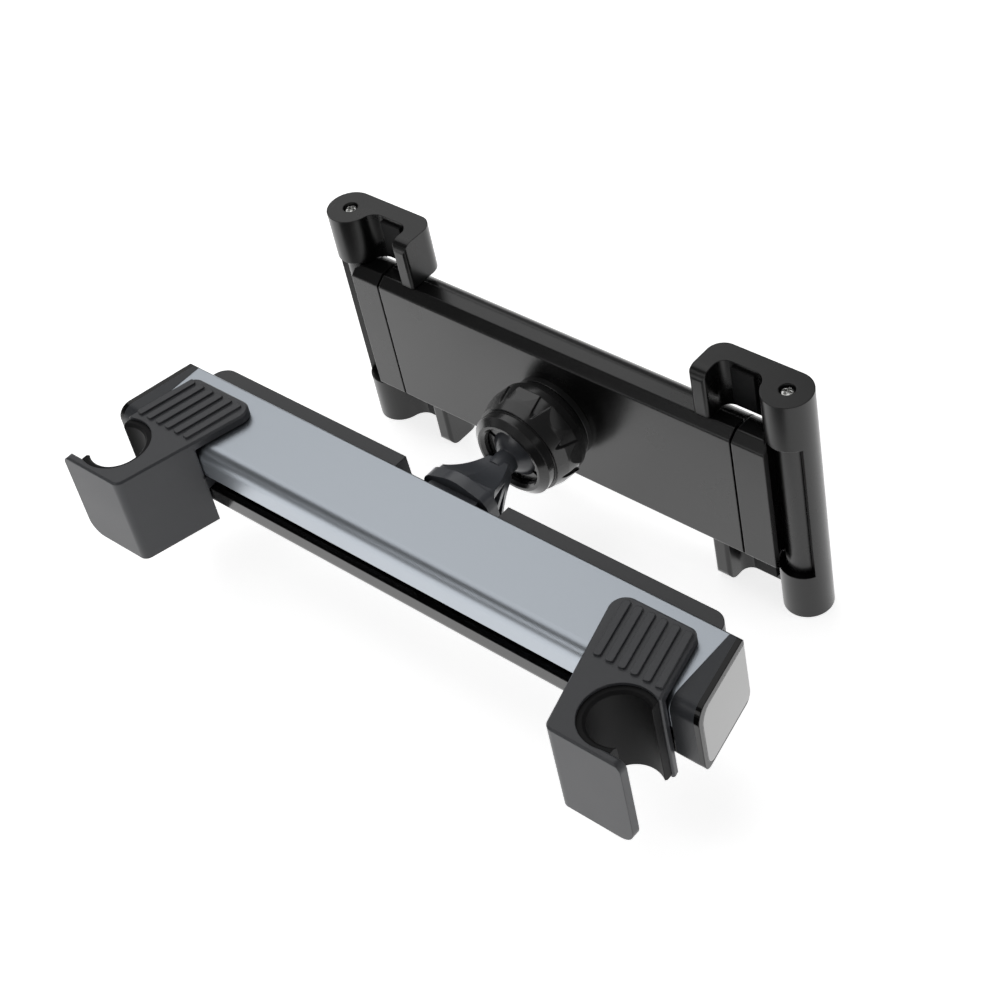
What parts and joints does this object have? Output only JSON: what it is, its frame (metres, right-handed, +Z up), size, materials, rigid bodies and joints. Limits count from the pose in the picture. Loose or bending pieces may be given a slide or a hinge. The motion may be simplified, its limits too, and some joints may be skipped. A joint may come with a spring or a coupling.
{
  "type": "headrest tablet mount",
  "caption": "Clamp bar with two sprung hooks for headrest posts, a ball-jointed arm and a cradle with sprung sliders and folding claws for a tablet.",
  "frame": {"origin": "midway between the axes of the two headrest posts, level with the ball of the arm", "axes": "+X along the bar to the right hook, +Y from the posts to the cradle, +Z up along the posts"},
  "size_m": [0.1966, 0.1034, 0.073],
  "materials": {
    "anodised_cover": "satin anodised, blue grey",
    "gloss_black": "polished black moulding",
    "grey_plastic": "fine textured dark grey moulding",
    "cap_plastic": "fine textured dark grey moulding",
    "mirror_panel": "high gloss black inlay",
    "hook_plastic": "fine textured black moulding",
    "black_rubber": "soft matte rubber",
    "black_acetal": "black acetal, as moulded",
    "nylon": "natural nylon",
    "steel": "plated steel",
    "arm_plastic": "black moulding, semi matte",
    "collar_plastic": "polished black moulding",
    "cradle_plastic": "fine textured black moulding",
    "slider_plastic": "black moulding, semi matte",
    "claw_plastic": "black moulding, semi matte"
  },
  "bodies": {
    "clamp": {"aluminium_cover": "anodised_cover", "lower_housing": "gloss_black", "rear_plate": "grey_plastic", "end_cap_left": "cap_plastic", "end_cap_right": "cap_plastic", "end_panel_left": "mirror_panel", "end_panel_right": "mirror_panel", "guide_rod_left": "steel", "guide_rod_right": "steel", "hook_spring_left": "steel", "hook_spring_right": "steel", "hook_pinion_pin": "steel", "housing_screws": "steel", "arm": "arm_plastic", "arm_screws": "steel"},
    "hook_gear": {"hook_pinion": "nylon"},
    "tilt_ring": {"ball_ring": "nylon"},
    "pan_seat": {"ball_pad": "black_rubber"},
    "cradle": {"ball_socket": "collar_plastic", "socket_screws": "steel", "back_cover": "cradle_plastic", "front_plate": "cradle_plastic", "grip_pad_left": "black_rubber", "grip_pad_right": "black_rubber", "cover_screws": "steel", "cradle_pinion_pin": "steel", "cradle_spring_left": "steel", "cradle_spring_right": "steel"},
    "collar": {"collar_nut": "collar_plastic"},
    "cradle_gear": {"cradle_pinion": "nylon"},
    "hook_unit_left": {"hook_left": "hook_plastic", "hook_liner_left": "black_rubber", "hook_slide_left": "black_acetal", "hook_screws_left": "steel"},
    "slider_unit_left": {"slider_left": "slider_plastic", "claw_screws_left": "steel"},
    "claw_unit_left": {"claw_left": "claw_plastic", "claw_pads_left": "black_rubber"},
    "hook_unit_right": {"hook_right": "hook_plastic", "hook_liner_right": "black_rubber", "hook_slide_right": "black_acetal", "hook_screws_right": "steel"},
    "slider_unit_right": {"slider_right": "slider_plastic", "claw_screws_right": "steel"},
    "claw_unit_right": {"claw_right": "claw_plastic", "claw_pads_right": "black_rubber"}
  },
  "joints": [
    {"name": "hook_right_slide", "type": "slide", "parent": "clamp", "child": "hook_unit_right", "axis": [-1, 0, 0], "range_m": [0, 0.026], "stiffness_N_per_m": 120, "springref_m": -0.02, "deforming": ["hook_spring_right"]},
    {"name": "hook_left_slide", "type": "slide", "parent": "clamp", "child": "hook_unit_left", "axis": [1, 0, 0], "range_m": [0, 0.026], "stiffness_N_per_m": 120, "springref_m": -0.02, "deforming": ["hook_spring_left"]},
    {"name": "hook_gear_turn", "type": "hinge", "parent": "clamp", "child": "hook_gear", "pos_m": [0, 0.02275, 0], "axis": [0, 0, 1], "range_deg": [-2, 252]},
    {"name": "ball_tilt", "type": "hinge", "parent": "clamp", "child": "tilt_ring", "pos_m": [0, 0.0661, 0], "axis": [1, 0, 0], "range_deg": [-20, 20]},
    {"name": "ball_pan", "type": "hinge", "parent": "tilt_ring", "child": "pan_seat", "pos_m": [0, 0.0661, 0], "axis": [0, 0, 1], "range_deg": [-20, 20]},
    {"name": "ball_roll", "type": "hinge", "parent": "pan_seat", "child": "cradle", "pos_m": [0, 0.0661, 0], "axis": [0, 1, 0], "continuous": true},
    {"name": "collar_turn", "type": "hinge", "parent": "cradle", "child": "collar", "pos_m": [0, 0.0661, 0], "axis": [0, 1, 0], "range_deg": [0, 90]},
    {"name": "slider_right_slide", "type": "slide", "parent": "cradle", "child": "slider_unit_right", "axis": [1, 0, 0], "range_m": [0, 0.045], "stiffness_N_per_m": 60, "springref_m": -0.03, "deforming": ["cradle_spring_right"]},
    {"name": "slider_left_slide", "type": "slide", "parent": "cradle", "child": "slider_unit_left", "axis": [-1, 0, 0], "range_m": [0, 0.045], "stiffness_N_per_m": 60, "springref_m": -0.03, "deforming": ["cradle_spring_left"]},
    {"name": "cradle_gear_turn", "type": "hinge", "parent": "cradle", "child": "cradle_gear", "pos_m": [0, 0.0812, 0], "axis": [0, 1, 0], "range_deg": [-2, 432]},
    {"name": "claw_right_turn", "type": "hinge", "parent": "slider_unit_right", "child": "claw_unit_right", "pos_m": [0.0721, 0.0854, 0], "axis": [0, 0, 1], "range_deg": [-90, 0]},
    {"name": "claw_left_turn", "type": "hinge", "parent": "slider_unit_left", "child": "claw_unit_left", "pos_m": [-0.0721, 0.0854, 0], "axis": [0, 0, 1], "range_deg": [0, 90]}
  ],
  "couplings": [
    {"joint": "hook_left_slide", "follows": "hook_right_slide", "ratio": 1},
    {"joint": "hook_gear_turn", "follows": "hook_right_slide", "rad_per_m": 166.67},
    {"joint": "slider_left_slide", "follows": "slider_right_slide", "ratio": 1},
    {"joint": "cradle_gear_turn", "follows": "slider_right_slide", "rad_per_m": 166.67}
  ]
}
